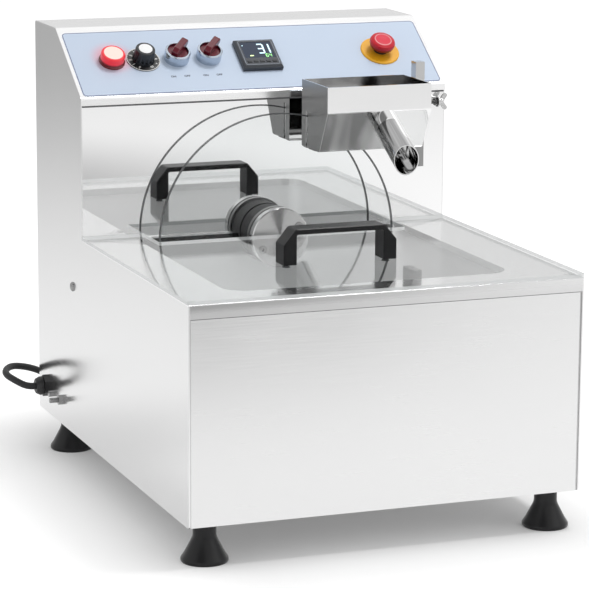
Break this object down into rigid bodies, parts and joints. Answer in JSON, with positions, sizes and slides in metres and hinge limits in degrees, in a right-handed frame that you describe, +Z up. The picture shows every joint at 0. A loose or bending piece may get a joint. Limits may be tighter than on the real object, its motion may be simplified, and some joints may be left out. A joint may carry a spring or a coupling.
{
  "type": "chocolate melter",
  "caption": "Table-top chocolate melter: a heated tank, a turning clear wheel that lifts the chocolate, and a scraper hopper with a pouring spout.",
  "frame": {"origin": "on the table under the cabinet, midway between its sides and midway between its front and rear", "axes": "+Z up, the front towards -Y, +X to the right seen from the front"},
  "size_m": [0.4908, 0.663, 0.504],
  "materials": {
    "base_pan": "satin",
    "feet": "satin",
    "foot_nuts": "bright zinc",
    "side_panel_left": "polished",
    "side_panel_right": "polished",
    "front_panel": "satin",
    "rear_cover": "satin",
    "panel_screws": "bright zinc",
    "tank": "polished",
    "heater_mat": "matte",
    "insulation_board": "matte",
    "temperature_probe": "polished",
    "back_wall": "polished",
    "fascia": "satin",
    "panel_overlay": "satin",
    "bearing_housing": "cast",
    "shaft_bearings": "bright zinc",
    "shaft_seal": "matte",
    "gearbox": "cast",
    "motor": "satin",
    "wheel_shaft": "bright zinc",
    "hub_barrel": "gloss",
    "hub_clamp_ring": "polished",
    "wheel_disc": "clear",
    "hub_cap": "polished",
    "hub_screws": "bright zinc",
    "lid": "clear",
    "lid_handle": "gloss",
    "lid_screws": "bright zinc",
    "hopper": "polished",
    "scraper_blades": "polished",
    "spout_tube": "polished",
    "hopper_post": "satin",
    "wing_screw": "bright zinc",
    "pilot_lamp": "gloss",
    "dial_plate": "printed scale",
    "speed_knob": "satin",
    "knob_cap": "gloss",
    "potentiometer": "bright zinc",
    "selector_bezels": "bright",
    "motor_selector": "gloss",
    "heat_selector": "gloss",
    "contact_blocks": "satin",
    "controller_case": "satin",
    "controller_window": "gloss",
    "estop_collar": "satin",
    "estop_stem": "satin",
    "estop_head": "gloss",
    "control_board": "satin",
    "mains_blocks": "satin",
    "cable_gland": "satin",
    "bonding_stud": "bright zinc",
    "cord_lead": "matte",
    "cord_coil": "matte",
    "mains_plug": "satin",
    "controller_button_1": "satin",
    "controller_button_2": "satin",
    "controller_button_3": "satin",
    "controller_button_4": "satin",
    "controller_button_5": "satin"
  },
  "bodies": {
    "cabinet": {"base_pan": "base_pan", "feet": "feet", "foot_nuts": "foot_nuts", "side_panel_left": "side_panel_left", "side_panel_right": "side_panel_right", "front_panel": "front_panel", "rear_cover": "rear_cover", "panel_screws": "panel_screws", "tank": "tank", "heater_mat": "heater_mat", "insulation_board": "insulation_board", "temperature_probe": "temperature_probe", "back_wall": "back_wall", "fascia": "fascia", "panel_overlay": "panel_overlay", "bearing_housing": "bearing_housing", "shaft_bearings": "shaft_bearings", "shaft_seal": "shaft_seal", "gearbox": "gearbox", "motor": "motor", "hopper_post": "hopper_post", "pilot_lamp": "pilot_lamp", "dial_plate": "dial_plate", "potentiometer": "potentiometer", "selector_bezels": "selector_bezels", "contact_blocks": "contact_blocks", "controller_case": "controller_case", "controller_window": "controller_window", "estop_collar": "estop_collar", "control_board": "control_board", "mains_blocks": "mains_blocks", "cable_gland": "cable_gland", "bonding_stud": "bonding_stud", "cord_lead": "cord_lead", "cord_coil": "cord_coil", "mains_plug": "mains_plug"},
    "wheel": {"wheel_disc": "wheel_disc", "hub_cap": "hub_cap", "hub_screws": "hub_screws", "hub_clamp_ring": "hub_clamp_ring", "hub_barrel": "hub_barrel", "wheel_shaft": "wheel_shaft"},
    "lid": {"lid": "lid", "lid_handle": "lid_handle", "lid_screws": "lid_screws"},
    "hopper": {"hopper": "hopper", "scraper_blades": "scraper_blades"},
    "spout": {"spout_tube": "spout_tube"},
    "wing": {"wing_screw": "wing_screw"},
    "knob": {"speed_knob": "speed_knob", "knob_cap": "knob_cap"},
    "motor_switch": {"motor_selector": "motor_selector"},
    "heat_switch": {"heat_selector": "heat_selector"},
    "stop_stem": {"estop_stem": "estop_stem"},
    "stop_head": {"estop_head": "estop_head"},
    "key_1": {"controller_button_1": "controller_button_1"},
    "key_2": {"controller_button_2": "controller_button_2"},
    "key_3": {"controller_button_3": "controller_button_3"},
    "key_4": {"controller_button_4": "controller_button_4"},
    "key_5": {"controller_button_5": "controller_button_5"}
  },
  "joints": [
    {"name": "wheel_spin", "type": "hinge", "parent": "cabinet", "child": "wheel", "pos_m": [0, 0.095, 0.274], "axis": [0, 1, 0], "continuous": true},
    {"name": "lid_slide", "type": "slide", "parent": "cabinet", "child": "lid", "axis": [0, -1, 0], "range_m": [0, 0.2]},
    {"name": "hopper_lift", "type": "slide", "parent": "cabinet", "child": "hopper", "axis": [0, 0, 1], "range_m": [0, 0.03]},
    {"name": "spout_turn", "type": "hinge", "parent": "hopper", "child": "spout", "pos_m": [0.106, -0.0126, 0.40121], "axis": [0, -0.8829, -0.4696], "range_deg": [-90, 90]},
    {"name": "wing_turn", "type": "hinge", "parent": "hopper", "child": "wing", "pos_m": [0.2, 0.084, 0.4156], "axis": [1, 0, 0], "range_deg": [0, 360]},
    {"name": "knob_turn", "type": "hinge", "parent": "cabinet", "child": "knob", "pos_m": [-0.132, 0.14262, 0.46957], "axis": [0, -0.5642, 0.8256], "range_deg": [-300, 0]},
    {"name": "motor_switch_turn", "type": "hinge", "parent": "cabinet", "child": "motor_switch", "pos_m": [-0.0925, 0.14262, 0.46957], "axis": [0, -0.5642, 0.8256], "range_deg": [0, 90]},
    {"name": "heat_switch_turn", "type": "hinge", "parent": "cabinet", "child": "heat_switch", "pos_m": [-0.054, 0.14262, 0.46957], "axis": [0, -0.5642, 0.8256], "range_deg": [0, 90]},
    {"name": "stop_push", "type": "slide", "parent": "cabinet", "child": "stop_stem", "axis": [0, 0.5642, -0.8256], "range_m": [0, 0.004], "stiffness_N_per_m": 1500},
    {"name": "stop_twist", "type": "hinge", "parent": "stop_stem", "child": "stop_head", "pos_m": [0.157, 0.14139, 0.46873], "axis": [0, -0.5642, 0.8256], "range_deg": [-45, 0], "stiffness_Nm_per_rad": 0.02},
    {"name": "key_1_press", "type": "slide", "parent": "cabinet", "child": "key_1", "axis": [0, 0.5642, -0.8256], "range_m": [0, 0.0006], "stiffness_N_per_m": 1500},
    {"name": "key_2_press", "type": "slide", "parent": "cabinet", "child": "key_2", "axis": [0, 0.5642, -0.8256], "range_m": [0, 0.0006], "stiffness_N_per_m": 1500},
    {"name": "key_3_press", "type": "slide", "parent": "cabinet", "child": "key_3", "axis": [0, 0.5642, -0.8256], "range_m": [0, 0.0006], "stiffness_N_per_m": 1500},
    {"name": "key_4_press", "type": "slide", "parent": "cabinet", "child": "key_4", "axis": [0, 0.5642, -0.8256], "range_m": [0, 0.0006], "stiffness_N_per_m": 1500},
    {"name": "key_5_press", "type": "slide", "parent": "cabinet", "child": "key_5", "axis": [0, 0.5642, -0.8256], "range_m": [0, 0.0006], "stiffness_N_per_m": 1500}
  ]
}
